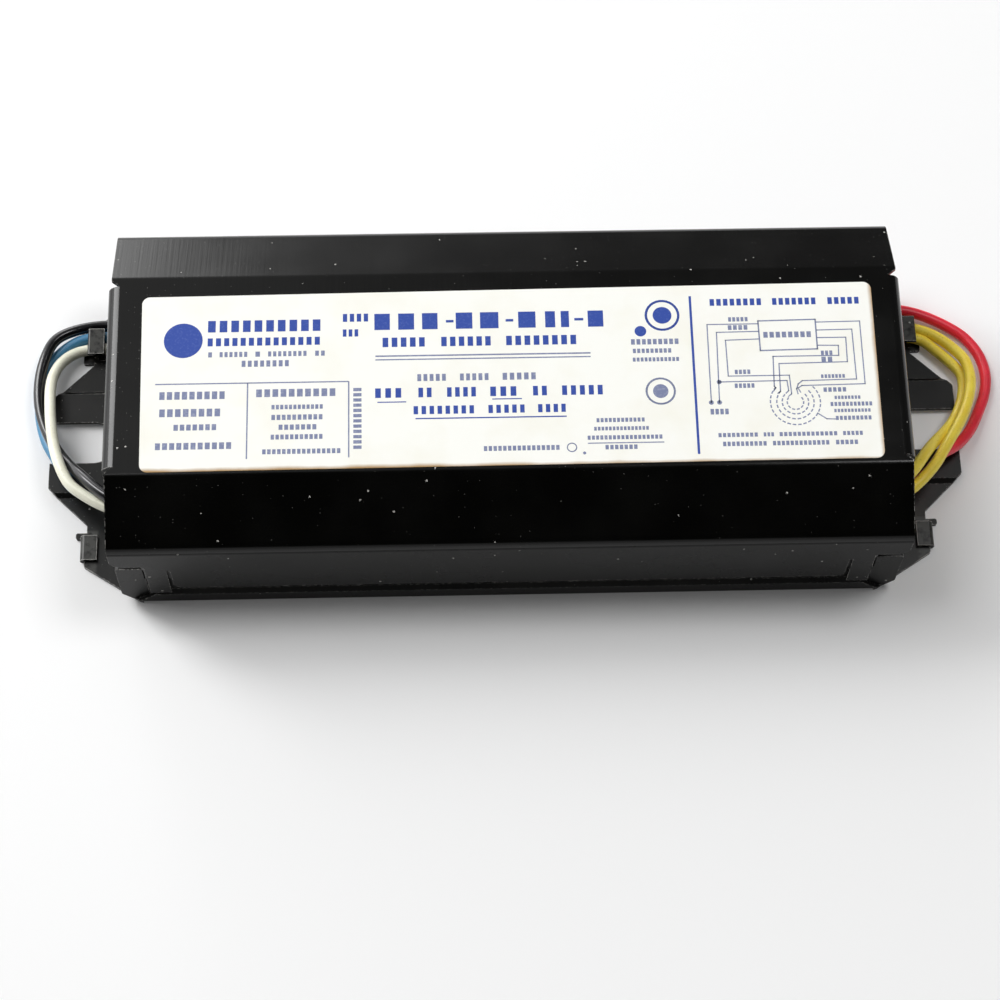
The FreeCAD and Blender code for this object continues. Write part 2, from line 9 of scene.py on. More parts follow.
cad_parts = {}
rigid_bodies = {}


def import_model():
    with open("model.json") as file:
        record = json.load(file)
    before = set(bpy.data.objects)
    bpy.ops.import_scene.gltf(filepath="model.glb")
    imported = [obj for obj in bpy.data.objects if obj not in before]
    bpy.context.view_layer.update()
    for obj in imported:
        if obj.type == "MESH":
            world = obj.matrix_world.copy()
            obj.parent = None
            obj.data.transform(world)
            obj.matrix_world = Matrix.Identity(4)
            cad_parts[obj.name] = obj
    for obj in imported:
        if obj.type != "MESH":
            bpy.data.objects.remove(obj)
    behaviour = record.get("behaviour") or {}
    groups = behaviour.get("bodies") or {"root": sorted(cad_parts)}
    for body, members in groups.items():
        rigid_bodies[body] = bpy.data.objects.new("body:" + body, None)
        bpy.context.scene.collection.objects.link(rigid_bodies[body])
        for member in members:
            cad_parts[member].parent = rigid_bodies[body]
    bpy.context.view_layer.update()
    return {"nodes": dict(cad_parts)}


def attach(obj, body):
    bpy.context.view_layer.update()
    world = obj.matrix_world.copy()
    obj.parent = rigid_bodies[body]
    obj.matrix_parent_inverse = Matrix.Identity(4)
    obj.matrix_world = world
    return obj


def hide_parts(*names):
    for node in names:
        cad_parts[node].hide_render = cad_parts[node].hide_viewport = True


for leftover in list(bpy.data.objects):
    bpy.data.objects.remove(leftover)
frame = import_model()
nodes = frame["nodes"]
scene = bpy.context.scene
MM = 0.001


# ---------------------------------------------------------------- camera
# A camera with a lens of about 94 mm looks down on the ballast from the front, 66 degrees up,
# a little turned and a little rolled, as the part lies in front of it on the bench.
def look_from(elevation, turn, roll, aim, distance):
    elevation, turn, roll = (math.radians(a) for a in (elevation, turn, roll))
    ahead = Vector((-math.sin(turn) * math.cos(elevation), math.cos(turn) * math.cos(elevation),
                    -math.sin(elevation)))
    side = Vector((math.cos(turn), math.sin(turn), 0.0))
    up = side.cross(ahead)
    across = side * math.cos(roll) + up * math.sin(roll)
    upward = up * math.cos(roll) - side * math.sin(roll)
    place = Vector(aim) - ahead * distance
    turned = Matrix((across, upward, -ahead)).transposed()
    return Matrix.Translation(place) @ turned.to_4x4()


camera_data = bpy.data.cameras.new("bench_camera")
camera_data.lens = 93.82
camera_data.sensor_width = 36.0
camera_data.clip_start = 0.02
camera = bpy.data.objects.new("bench_camera", camera_data)
scene.collection.objects.link(camera)
camera.matrix_world = look_from(66.1072, -2.8145, 1.5963, (-0.0020188, -0.0243021, 0.020), 0.5805432)
scene.camera = camera


# ---------------------------------------------------------------- leads
# Six solid copper leads in vinyl insulation, 2.6 mm across. They leave the potting through the
# front corners, loop round the ears and tuck back under the rear clips into the rear corners.
def new_finish(name):
    finish = bpy.data.materials.new(name)
    finish.use_nodes = True
    tree = finish.node_tree
    tree.nodes.clear()
    shader = tree.nodes.new("ShaderNodeBsdfPrincipled")
    tree.links.new(shader.outputs[0], tree.nodes.new("ShaderNodeOutputMaterial").inputs[0])
    return finish, tree, shader


def step(tree, kind, values=(), **settings):
    """One node: values go to its sockets by name or number, and a socket given as a value is linked."""
    made = tree.nodes.new(kind)
    for key, value in settings.items():
        setattr(made, key, value)
    for key, value in dict(values).items():
        if isinstance(value, bpy.types.NodeSocket):
            tree.links.new(value, made.inputs[key])
        else:
            made.inputs[key].default_value = value
    return made


def ramp(tree, value, low, high, out_low=0.0, out_high=1.0, smooth=False):
    made = step(tree, "ShaderNodeMapRange", {"Value": value, "From Min": low, "From Max": high,
                                             "To Min": out_low, "To Max": out_high})
    made.interpolation_type = "SMOOTHSTEP" if smooth else "LINEAR"
    return made.outputs[0]


def blend_colours(tree, factor, first, second):
    made = step(tree, "ShaderNodeMix", {0: factor, 6: first, 7: second}, data_type="RGBA")
    return made.outputs[2]


def sum_of(tree, operation, first, second):
    return step(tree, "ShaderNodeMath", {0: first, 1: second}, operation=operation).outputs[0]


def place_of(tree, scale=(1.0, 1.0, 1.0), shift=(0.0, 0.0, 0.0)):
    """Object coordinates in millimetres, stretched by scale."""
    here = step(tree, "ShaderNodeTexCoord").outputs["Object"]
    return step(tree, "ShaderNodeMapping", {"Vector": here, "Location": shift,
                                            "Scale": [1000.0 * s for s in scale]}).outputs[0]


def noise(tree, scale, detail, stretch=(1.0, 1.0, 1.0), shift=(0.0, 0.0, 0.0)):
    return step(tree, "ShaderNodeTexNoise", {"Vector": place_of(tree, stretch, shift), "Scale": scale,
                                             "Detail": detail}).outputs[0]


def lead_finish(name, colour, shaded, dirt, gloss):
    finish, tree, shader = new_finish(name)
    broad = noise(tree, 0.22, 3.0)
    fine = noise(tree, 2.4, 4.0)
    tone = blend_colours(tree, ramp(tree, broad, 0.35, 0.68), colour, shaded)
    soiled = blend_colours(tree, ramp(tree, fine, 0.60, 0.74, 0.0, 0.45), tone, dirt)
    tree.links.new(soiled, shader.inputs["Base Color"])
    tree.links.new(ramp(tree, fine, 0.3, 0.8, gloss, gloss + 0.16), shader.inputs["Roughness"])
    dent = step(tree, "ShaderNodeBump", {"Height": broad, "Strength": 0.12, "Distance": 0.0004})
    tree.links.new(dent.outputs[0], shader.inputs["Normal"])
    return finish


lead_width = 0.0026
can_end = 88.0
lead_low = 2.25                         # height of a lead's middle where it lies on the base plate, in mm
lead_finishes = {}
for colour_name, colour, shaded, dirt, gloss in (
        ("white", (0.86, 0.86, 0.72, 1), (0.78, 0.77, 0.62, 1), (0.30, 0.25, 0.13, 1), 0.28),
        ("black", (0.004, 0.004, 0.005, 1), (0.008, 0.008, 0.010, 1), (0.05, 0.05, 0.05, 1), 0.12),
        ("blue", (0.060, 0.240, 0.420, 1), (0.050, 0.200, 0.360, 1), (0.04, 0.08, 0.11, 1), 0.30),
        ("red", (0.92, 0.026, 0.055, 1), (0.80, 0.022, 0.046, 1), (0.24, 0.02, 0.02, 1), 0.30),
        ("yellow", (1.0, 0.80, 0.085, 1), (0.95, 0.70, 0.060, 1), (0.30, 0.20, 0.02, 1), 0.30)):
    lead_finishes[colour_name] = lead_finish(colour_name + "_vinyl", colour, shaded, dirt, gloss)
# Each route: the end of the can that it leaves, and its points as distance out of that end, y and z, in mm.
lead_routes = {
    "white_lead": ("white", -1, 0.0815, [
        (-6.5, -22.7, 11.9), (0.2, -22.7, 11.9), (9.4, -17.0, 11.9), (11.9, -14.3, 11.6), (14.1, -9.3, 11.1),
        (15.8, -3.6, 10.0), (16.9, 3.5, 8.4), (17.6, 10.4, 6.3), (17.7, 16.4, 4.4), (15.2, 21.6, 3.0),
        (10.0, 24.6, lead_low), (1.6, 24.2, lead_low), (-6.5, 24.2, lead_low)]),
    "black_lead": ("black", -1, 0.0894, [
        (-6.5, -22.5, 16.0), (0.2, -22.5, 16.0), (8.2, -13.6, 13.4), (11.7, -9.4, 9.0), (15.1, -4.7, 7.6),
        (18.0, 1.0, 5.3), (19.8, 6.3, 4.4), (20.6, 11.2, 4.2), (20.4, 17.3, 4.3), (19.0, 22.6, 4.4),
        (17.1, 27.4, 3.7), (7.5, 30.8, lead_low), (1.6, 30.2, lead_low), (-6.5, 30.2, lead_low)]),
    "blue_lead": ("blue", -1, 0.0860, [
        (-6.5, -21.0, 8.9), (0.2, -21.0, 8.9), (10.0, -15.8, 9.0), (12.5, -12.6, 7.9), (15.0, -6.2, 4.7),
        (17.8, -1.7, 3.1), (19.3, 2.4, lead_low), (20.5, 7.8, 1.4), (20.6, 13.6, 1.4), (20.5, 19.5, 1.4),
        (13.4, 26.3, lead_low), (8.2, 27.4, lead_low), (1.6, 27.3, lead_low), (-6.5, 27.3, lead_low)]),
    "red_lead": ("red", 1, 0.0949, [
        (-6.5, -22.2, 9.6), (0.2, -22.2, 9.6), (9.7, -13.8, 9.1), (12.0, -8.7, 8.1), (15.8, -6.7, 5.1),
        (20.3, -1.6, 3.2), (22.6, 3.4, 2.0), (24.6, 7.6, 1.4), (26.0, 12.6, 1.4), (25.3, 18.6, 1.4),
        (22.4, 23.4, 1.4), (19.4, 26.2, 1.5), (9.3, 31.6, lead_low), (1.6, 31.7, lead_low),
        (-6.5, 31.7, lead_low)]),
    "yellow_lead_a": ("yellow", 1, 0.0863, [
        (-6.5, -23.6, 12.8), (0.2, -23.6, 12.8), (9.0, -15.1, 12.1), (11.4, -10.7, 11.3), (14.3, -6.1, 10.4),
        (17.6, -0.5, 8.1), (19.9, 4.9, 6.8), (21.4, 10.5, 5.6), (21.0, 16.0, 4.6), (19.7, 19.1, 3.2),
        (12.1, 27.2, lead_low), (1.6, 26.9, lead_low), (-6.5, 26.9, lead_low)]),
    "yellow_lead_b": ("yellow", 1, 0.0825, [
        (-6.5, -22.4, 17.2), (0.2, -22.4, 17.2), (7.2, -11.7, 15.0), (10.6, -6.8, 9.6), (14.7, -2.2, 6.9),
        (17.6, 2.6, 4.4), (19.6, 7.8, 3.2), (20.1, 12.4, 2.5), (19.7, 14.8, 2.4), (13.2, 21.4, lead_low),
        (10.5, 24.3, lead_low), (1.6, 24.2, lead_low), (-6.5, 24.2, lead_low)]),
}
for lead_name, (colour_name, side, lead_length, points) in lead_routes.items():
    line = bpy.data.curves.new(lead_name + "_line", "CURVE")
    line.dimensions = "3D"
    line.bevel_depth = lead_width / 2
    line.bevel_resolution = 6
    line.resolution_u = 10
    line.use_fill_caps = True
    spline = line.splines.new("NURBS")
    spline.points.add(len(points) - 1)
    for control, (out, y, z) in zip(spline.points, points):
        control.co = (side * (can_end + out) * MM, y * MM, z * MM, 1.0)
    spline.order_u = 4
    spline.use_endpoint_u = True
    lead = bpy.data.objects.new(lead_name + "_run", line)
    scene.collection.objects.link(lead)
    line.materials.append(lead_finishes[colour_name])
    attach(lead, "root")
    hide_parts(lead_name)
    out, y, z = points[0]


# ---------------------------------------------------------------- cover and base plate
# The can: a folded cover and a base plate with stamped ears, both of 0.9 mm steel, pressed together
# and dipped in black asphalt enamel. It is duller on the upright faces, and it has chipped white
# along the folds and the sheared edges.
def group_tree(name, inputs, outputs):
    tree = bpy.data.node_groups.new(name, "ShaderNodeTree")
    for socket_name, kind, value in inputs:
        tree.interface.new_socket(socket_name, in_out="INPUT", socket_type=kind).default_value = value
    for socket_name, kind in outputs:
        tree.interface.new_socket(socket_name, in_out="OUTPUT", socket_type=kind)
    return tree, tree.nodes.new("NodeGroupInput").outputs, tree.nodes.new("NodeGroupOutput").inputs


def edge_wear_group():
    """Where a sharp edge runs, broken up by noise: 1 on the edge and 0 on the flat."""
    tree, given, result = group_tree(
        "edge_wear",
        [("Width", "NodeSocketFloat", 0.0004), ("Amount", "NodeSocketFloat", 0.5),
         ("Grain", "NodeSocketFloat", 1.0)],
        [("Mask", "NodeSocketFloat")])
    rounded = step(tree, "ShaderNodeBevel", {"Radius": given["Width"]}, samples=6)
    true_normal = step(tree, "ShaderNodeNewGeometry").outputs["True Normal"]
    match = step(tree, "ShaderNodeVectorMath", {0: rounded.outputs[0], 1: true_normal},
                 operation="DOT_PRODUCT")
    edge = ramp(tree, match.outputs["Value"], 0.985, 0.80)
    patches = step(tree, "ShaderNodeTexNoise", {"Vector": place_of(tree), "Scale": given["Grain"],
                                                "Detail": 6.0, "Roughness": 0.7})
    broken = sum_of(tree, "ADD", patches.outputs[0], given["Amount"])
    tree.links.new(sum_of(tree, "MULTIPLY", edge, ramp(tree, broken, 0.93, 1.07)), result["Mask"])
    return tree


def speck_group():
    """Small scattered flecks: white chips and dust caught in the enamel."""
    tree, given, result = group_tree(
        "specks",
        [("Spacing", "NodeSocketFloat", 0.4), ("Size", "NodeSocketFloat", 0.1),
         ("Amount", "NodeSocketFloat", 0.2)],
        [("Mask", "NodeSocketFloat")])
    cells = step(tree, "ShaderNodeTexVoronoi", {"Vector": place_of(tree), "Scale": given["Spacing"]})
    shape = step(tree, "ShaderNodeTexNoise", {"Vector": place_of(tree), "Scale": 5.0, "Detail": 3.0})
    wobble = sum_of(tree, "MULTIPLY_ADD", shape.outputs[0], 0.44)
    wobble.node.inputs[2].default_value = -0.22
    reach = sum_of(tree, "ADD", cells.outputs["Distance"], wobble)
    dot = sum_of(tree, "LESS_THAN", reach, given["Size"])
    pick = step(tree, "ShaderNodeSeparateColor", {0: cells.outputs["Color"]}).outputs[0]
    kept = sum_of(tree, "LESS_THAN", pick, given["Amount"])
    tree.links.new(sum_of(tree, "MULTIPLY", dot, kept), result["Mask"])
    return tree


edge_wear = edge_wear_group()
specks = speck_group()


def use_group(tree, group, values):
    made = tree.nodes.new("ShaderNodeGroup")
    made.node_tree = group
    for key, value in values.items():
        if isinstance(value, bpy.types.NodeSocket):
            tree.links.new(value, made.inputs[key])
        else:
            made.inputs[key].default_value = value
    return made.outputs


def rounded_copy(name, width):
    """The sheet piece with its faces merged and the sharp edges of its cut sheet taken off."""
    merge_distance = 2e-6
    flat_angle = math.radians(0.6)
    shape = bmesh.new()
    shape.from_mesh(nodes[name].data)
    bmesh.ops.remove_doubles(shape, verts=shape.verts, dist=merge_distance)
    bmesh.ops.dissolve_limit(shape, angle_limit=flat_angle, verts=shape.verts, edges=shape.edges)
    for face in shape.faces:
        face.smooth = True
    mesh = bpy.data.meshes.new(name + "_sheet")
    shape.to_mesh(mesh)
    shape.free()
    piece = bpy.data.objects.new(name + "_sheet", mesh)
    scene.collection.objects.link(piece)
    softened = piece.modifiers.new("softened_edges", "BEVEL")
    softened.width = width
    softened.segments = 2
    softened.limit_method = "ANGLE"
    softened.angle_limit = math.radians(40)
    flat_faces = piece.modifiers.new("flat_faces", "WEIGHTED_NORMAL")
    flat_faces.mode = "FACE_AREA"
    flat_faces.weight = 90
    return piece


def enamel_finish(name, base, cloudy, gloss, shine, wear, chip_amount, bare_colour, worn_place=None):
    """Black enamel with faint streaks, chipped at its edges and flecked, most of all at the left end."""
    finish, tree, shader = new_finish(name)
    here = step(tree, "ShaderNodeSeparateXYZ", {0: place_of(tree)}).outputs
    clouds = noise(tree, 0.06, 5.0)
    streaks = noise(tree, 1.4, 3.0, (1.0, 0.02, 0.02))
    grain = noise(tree, 3.0, 3.0)
    tone = blend_colours(tree, ramp(tree, clouds, 0.42, 0.66), base, cloudy)
    if worn_place:
        worn = worn_place(tree, here)
        tone = blend_colours(tree, worn, tone, (0.050, 0.050, 0.046, 1))
        wear = sum_of(tree, "ADD", sum_of(tree, "MULTIPLY", worn, 0.35), wear)
    chips = use_group(tree, edge_wear, {"Width": 0.00040, "Amount": wear, "Grain": 1.6})["Mask"]
    left_end = ramp(tree, here[0], -84.0, -60.0, 2.6, 1.0)
    amount = sum_of(tree, "MULTIPLY", left_end, chip_amount)
    flecks = use_group(tree, specks, {"Spacing": 0.55, "Size": 0.10, "Amount": amount})["Mask"]
    dust = use_group(tree, specks, {"Spacing": 1.5, "Size": 0.12, "Amount": amount})["Mask"]
    scattered = sum_of(tree, "MAXIMUM", flecks, sum_of(tree, "MULTIPLY", dust, 0.2))
    bare = sum_of(tree, "MAXIMUM", chips, scattered)
    tree.links.new(blend_colours(tree, bare, tone, bare_colour), shader.inputs["Base Color"])
    rough = ramp(tree, clouds, 0.3, 0.7, gloss, gloss + 0.08)
    chipped_rough = sum_of(tree, "MAXIMUM", rough, sum_of(tree, "MULTIPLY", bare, 0.5))
    tree.links.new(chipped_rough, shader.inputs["Roughness"])
    height = sum_of(tree, "ADD", sum_of(tree, "MULTIPLY", streaks, 0.8),
                    sum_of(tree, "MULTIPLY", grain, 0.2))
    skin = step(tree, "ShaderNodeBump", {"Height": height, "Strength": 0.10, "Distance": 0.0001})
    tree.links.new(skin.outputs[0], shader.inputs["Normal"])
    shader.inputs["Specular IOR Level"].default_value = shine
    return finish


def clip_faces(tree, here):
    """The raised clips, where the leads and tools have rubbed the enamel off."""
    out = step(tree, "ShaderNodeMath", {0: here[0]}, operation="ABSOLUTE").outputs[0]
    across = step(tree, "ShaderNodeMath", {0: here[1]}, operation="ABSOLUTE").outputs[0]
    along = sum_of(tree, "MULTIPLY", ramp(tree, out, 93.6, 94.2), ramp(tree, out, 98.0, 97.4))
    patch = ramp(tree, noise(tree, 0.7, 4.0), 0.32, 0.52)
    inside = sum_of(tree, "MULTIPLY", along, ramp(tree, across, 21.6, 22.2))
    return sum_of(tree, "MULTIPLY", inside, patch)


chip_white = (0.50, 0.49, 0.46, 1)
sheet_edge = 0.00016
upright = 0.97                          # least y in the normal of a face that counts as front or rear
cover_enamel = enamel_finish("cover_enamel", (0.0010, 0.0010, 0.0008, 1), (0.0022, 0.0022, 0.0019, 1),
                             0.12, 0.32, 0.45, 0.06, chip_white)
skirt_enamel = enamel_finish("skirt_enamel", (0.0010, 0.0010, 0.0008, 1), (0.0026, 0.0026, 0.0021, 1),
                             0.24, 0.10, 0.45, 0.06, chip_white)
base_enamel = enamel_finish("base_enamel", (0.0022, 0.0022, 0.0018, 1), (0.0060, 0.0057, 0.0046, 1),
                            0.26, 0.30, 0.46, 0.07, chip_white, clip_faces)
for sheet_name, flat_finish, upright_finish in (("cover", cover_enamel, skirt_enamel),
                                                ("base_plate", base_enamel, skirt_enamel)):
    sheet_piece = rounded_copy(sheet_name, sheet_edge)
    sheet_piece.data.materials.append(flat_finish)
    sheet_piece.data.materials.append(upright_finish)
    for face in sheet_piece.data.polygons:
        face.material_index = int(abs(face.normal.y) > upright)
    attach(sheet_piece, "root")
    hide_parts(sheet_name)


# ---------------------------------------------------------------- rating label
# A cream paper label with rounded corners, glued to the top of the can and browned by old glue
# along its front and right edges.
def plate_of(name, corners, radius, z0, z1):
    """Flat plate with rounded corners, from its corners in mm."""
    shape = bmesh.new()
    rim = []
    count = len(corners)
    for index, corner in enumerate(corners):
        corner = Vector(corner)
        to_last = (Vector(corners[index - 1]) - corner).normalized()
        to_next = (Vector(corners[(index + 1) % count]) - corner).normalized()
        middle = corner + (to_last + to_next) * radius
        for turn in range(9):
            angle = math.pi / 2 * turn / 8
            point = middle - to_next * radius * math.cos(angle) - to_last * radius * math.sin(angle)
            rim.append(shape.verts.new((point.x * MM, point.y * MM, z1 * MM)))
    top = shape.faces.new(rim)
    wall = bmesh.ops.extrude_face_region(shape, geom=[top])
    low = [part for part in wall["geom"] if isinstance(part, bmesh.types.BMVert)]
    bmesh.ops.translate(shape, verts=low, vec=(0, 0, (z0 - z1) * MM))
    bmesh.ops.recalc_face_normals(shape, faces=shape.faces)
    mesh = bpy.data.meshes.new(name)
    shape.to_mesh(mesh)
    shape.free()
    piece = bpy.data.objects.new(name, mesh)
    scene.collection.objects.link(piece)
    return piece


def paper_finish():
    finish, tree, shader = new_finish("label_paper")
    here = step(tree, "ShaderNodeSeparateXYZ", {0: place_of(tree)}).outputs
    mottling = noise(tree, 0.09, 5.0)
    fibre = noise(tree, 1.6, 4.0)
    paper = blend_colours(tree, ramp(tree, mottling, 0.45, 0.72), (0.94, 0.94, 0.89, 1),
                          (0.91, 0.90, 0.82, 1))
    ragged = sum_of(tree, "MULTIPLY", mottling, 1.2)
    right = ramp(tree, sum_of(tree, "ADD", here[0], ragged), 81.6, 82.6)
    front = ramp(tree, sum_of(tree, "SUBTRACT", here[1], ragged), -23.2, -24.1)
    stain = sum_of(tree, "MAXIMUM", right, front)
    tree.links.new(blend_colours(tree, stain, paper, (0.42, 0.26, 0.11, 1)), shader.inputs["Base Color"])
    shader.inputs["Roughness"].default_value = 0.55
    shader.inputs["Specular IOR Level"].default_value = 0.3
    weave = step(tree, "ShaderNodeBump", {"Height": fibre, "Strength": 0.08, "Distance": 0.0002})
    tree.links.new(weave.outputs[0], shader.inputs["Normal"])
    return finish


paper_low, paper_top = 36.50, 36.60
paper_corners = [(-81.0, 19.2), (-80.4, -23.7), (81.8, -23.1), (82.0, 20.4)]
paper_corner_radius = 1.8
paper = plate_of("label_sheet", paper_corners, paper_corner_radius, paper_low, paper_top)
paper.data.materials.append(paper_finish())
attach(paper, "root")
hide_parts("rating_label")


# ---------------------------------------------------------------- print on the label
# Blue offset print: rows of plain blocks, with rules, discs and a wiring diagram of plain lines. Each
# mark is its middle, length, width and turn in mm and radians, and whether it is round.
marks = {"strong": [], "faint": []}
ink_thickness = 0.020                   # mm


def bar(ink, x0, x1, y0, y1):
    marks[ink].append(((x0 + x1) / 2, (y0 + y1) / 2, x1 - x0, y1 - y0, 0.0, 0))


def row(ink, y0, y1, words, pitch=0.86, fill=0.62):
    """Row of plain blocks: each word is split into blocks about as wide as they are high."""
    y0, y1 = y0 + 0.05 * (y1 - y0), y1 - 0.05 * (y1 - y0)
    for x0, x1 in words:
        count = max(1, round((x1 - x0) / (pitch * (y1 - y0))))
        step_x = (x1 - x0) / count
        for index in range(count):
            start = x0 + index * step_x
            bar(ink, start, start + step_x * fill, y0, y1)


def stroke(ink, width, points):
    for (x0, y0), (x1, y1) in zip(points, points[1:]):
        reach = math.hypot(x1 - x0, y1 - y0)
        marks[ink].append(((x0 + x1) / 2, (y0 + y1) / 2, reach + width, width,
                           math.atan2(y1 - y0, x1 - x0), 0))


def ring(ink, x, y, radius, width, count, fill, start=0.0, sweep=360.0):
    for index in range(count):
        angle = math.radians(start + sweep * (index + 0.5) / count)
        reach = math.radians(sweep) * radius / count * fill
        marks[ink].append((x + radius * math.cos(angle), y + radius * math.sin(angle), reach, width,
                           angle + math.pi / 2, 0))


def spot(ink, x, y, radius):
    marks[ink].append((x, y, 2 * radius, 2 * radius, 0.0, 1))


row("strong", 10.0, 13.2, [(-66.2, -40.4)], 0.90, 0.66)
row("strong", 6.6, 8.8, [(-66.2, -40.7)], 0.90, 0.62)
row("faint", 3.9, 5.3, [(-66.0, -64.7), (-63.5, -57.0), (-55.6, -54.0), (-52.8, -43.9), (-42.4, -39.8)])
row("faint", 1.4, 3.1, [(-58.6, -47.7)])
row("strong", 12.2, 14.4, [(-36.3, -30.1)])
row("strong", 8.5, 10.5, [(-36.3, -32.4)])
row("strong", 9.9, 14.4, [(-29.3, -25.1), (-24.0, -19.7), (-18.7, -14.5), (-11.2, -6.7), (-5.8, -0.8),
                          (2.7, 7.4), (8.7, 11.4), (12.2, 14.4), (18.2, 22.4)], 1.4, 0.82)
row("strong", 11.7, 12.4, [(-13.4, -11.7), (-0.1, 1.6), (15.2, 17.2)], 9.0, 1.0)
row("strong", 5.7, 8.3, [(-27.5, -17.4), (-14.5, -2.8), (-0.1, 16.2)])
bar("faint", -29.1, 18.5, 3.42, 3.78)
bar("faint", -29.1, 18.5, 2.55, 2.85)
row("faint", -2.8, -0.9, [(-19.9, -13.1), (-10.5, -3.7), (-1.1, 6.8)])
row("strong", -6.8, -4.2, [(-29.2, -22.5), (-19.7, -16.0), (-13.4, -6.3), (-3.9, 2.8), (5.5, 9.4),
                           (11.9, 21.7)], 0.86, 0.56)
bar("strong", -28.7, -22.4, -7.85, -7.6)
bar("strong", -3.5, 3.0, -7.5, -7.25)
row("strong", -10.9, -8.7, [(-20.8, -6.8), (-4.4, 4.3), (6.5, 13.3)], 0.86, 0.56)
bar("strong", -20.4, 12.7, -12.0, -11.7)
bar("faint", -77.5, -35.0, -2.65, -2.35)
bar("faint", -57.35, -57.05, -20.9, -2.5)
bar("faint", -35.15, -34.85, -20.9, -2.5)
for y0, y1, x0, x1 in ((-6.4, -4.3, -76.5, -61.7), (-10.6, -8.5, -76.4, -62.6), (-13.9, -12.3, -73.2, -63.5),
                       (-18.5, -16.7, -77.1, -60.1), (-6.1, -4.0, -55.3, -37.4), (-9.1, -7.9, -51.9, -40.4),
                       (-11.7, -10.3, -51.9, -40.4), (-14.1, -12.7, -50.3, -41.7),
                       (-16.4, -15.1, -52.0, -40.4),
                       (-19.9, -18.6, -53.8, -36.5), (5.4, 6.9, 27.6, 38.5), (3.3, 4.5, 27.9, 36.7),
                       (1.2, 2.3, 27.8, 38.3), (-13.5, -12.4, 19.2, 30.0), (-15.5, -14.5, 18.6, 30.8),
                       (-17.7, -16.6, 17.1, 33.7), (-20.1, -18.9, 20.9, 28.2), (-20.0, -18.7, -5.6, 11.2)):
    row("faint", y0, y1, [(x0, x1)], 0.92, 0.70)
bar("faint", 17.1, 33.8, -18.6, -18.35)
for index in range(12):
    bar("faint", -34.0, -32.2, -18.9 + 1.27 * index, -18.1 + 1.27 * index)
ring("strong", 34.8, 12.7, 3.6, 0.55, 30, 1.15)
spot("strong", 34.8, 12.7, 2.1)
spot("strong", 29.8, 8.8, 1.3)
ring("faint", 33.6, -6.1, 3.1, 0.45, 28, 1.15)
spot("faint", 33.6, -6.1, 1.7)
ring("faint", 13.6, -19.4, 1.0, 0.25, 16, 1.15)
spot("faint", 16.3, -20.8, 0.35)
bar("strong", 40.95, 41.5, -21.5, 17.4)
spot("strong", -71.6, 8.2, 4.3)
row("strong", 14.8, 16.7, [(45.6, 57.6), (59.6, 69.8), (72.0, 79.5)], 0.90, 0.66)
stroke("faint", 0.32, [(56.1, 10.9), (68.9, 11.1), (68.9, 3.7), (56.2, 3.5), (56.1, 10.9)])
for wire in ([(56.1, 10.2), (44.7, 10.2), (44.6, -9.1)], [(56.0, 8.3), (46.7, 8.2), (46.4, -9.1)],
             [(56.0, 6.4), (48.6, 6.2), (48.7, -2.7), (62.2, -2.7), (62.4, -7.3), (61.7, -7.9)],
             [(46.6, -4.1), (61.6, -4.0), (61.8, -6.5), (61.2, -7.1)],
             [(69.1, 10.4), (78.8, 10.5), (78.8, -5.1), (64.8, -5.3), (63.9, -5.9), (64.4, -6.9)],
             [(69.0, 8.4), (76.9, 8.5), (77.0, -3.9), (65.0, -4.1), (64.0, -4.9), (63.6, -6.1), (63.8, -7.3)],
             [(69.0, 6.5), (75.4, 6.5), (75.3, 0.4), (60.1, 0.2), (60.0, -6.6), (59.4, -7.1)],
             [(69.0, 4.6), (73.6, 4.5), (73.5, 2.0), (58.9, 2.0), (58.7, -5.4), (59.0, -5.8), (58.5, -6.5)],
             [(67.8, -12.1), (69.7, -13.5), (71.6, -13.6)]):
    stroke("faint", 0.26, wire)
for x, y in ((44.6, -9.1), (46.4, -9.1), (46.6, -4.1)):
    spot("faint", x, y, 0.55)
for radius, count in ((1.8, 8), (2.9, 12), (4.1, 16), (5.5, 22)):
    ring("faint", 63.1, -9.3, radius, 0.30, count, 0.66, 135.0, 270.0)
for x0, x1, y0, y1 in ((49.5, 54.1, 10.8, 12.0), (49.3, 54.0, 8.7, 10.0), (57.1, 68.1, 6.6, 8.2),
                       (50.2, 53.9, -2.3, -1.1), (50.0, 54.6, -5.7, -4.5), (69.6, 72.4, 2.1, 3.3),
                       (69.6, 72.4, 0.4, 1.8), (69.2, 74.7, -3.6, -2.6), (69.5, 74.8, -7.0, -5.8),
                       (71.8, 77.7, -8.8, -7.9), (70.8, 80.2, -10.5, -9.4), (71.5, 79.7, -12.0, -11.1),
                       (71.7, 79.8, -13.9, -12.8), (44.3, 48.6, -12.1, -10.6)):
    row("faint", y0, y1, [(x0, x1)], 0.90, 0.70)
row("faint", -17.6, -16.5, [(45.7, 54.6), (55.6, 58.1), (59.1, 72.0), (73.0, 77.6)], 0.98, 0.70)
row("faint", -19.8, -18.6, [(46.6, 56.4), (57.5, 70.1), (71.3, 76.4)], 0.90, 0.70)


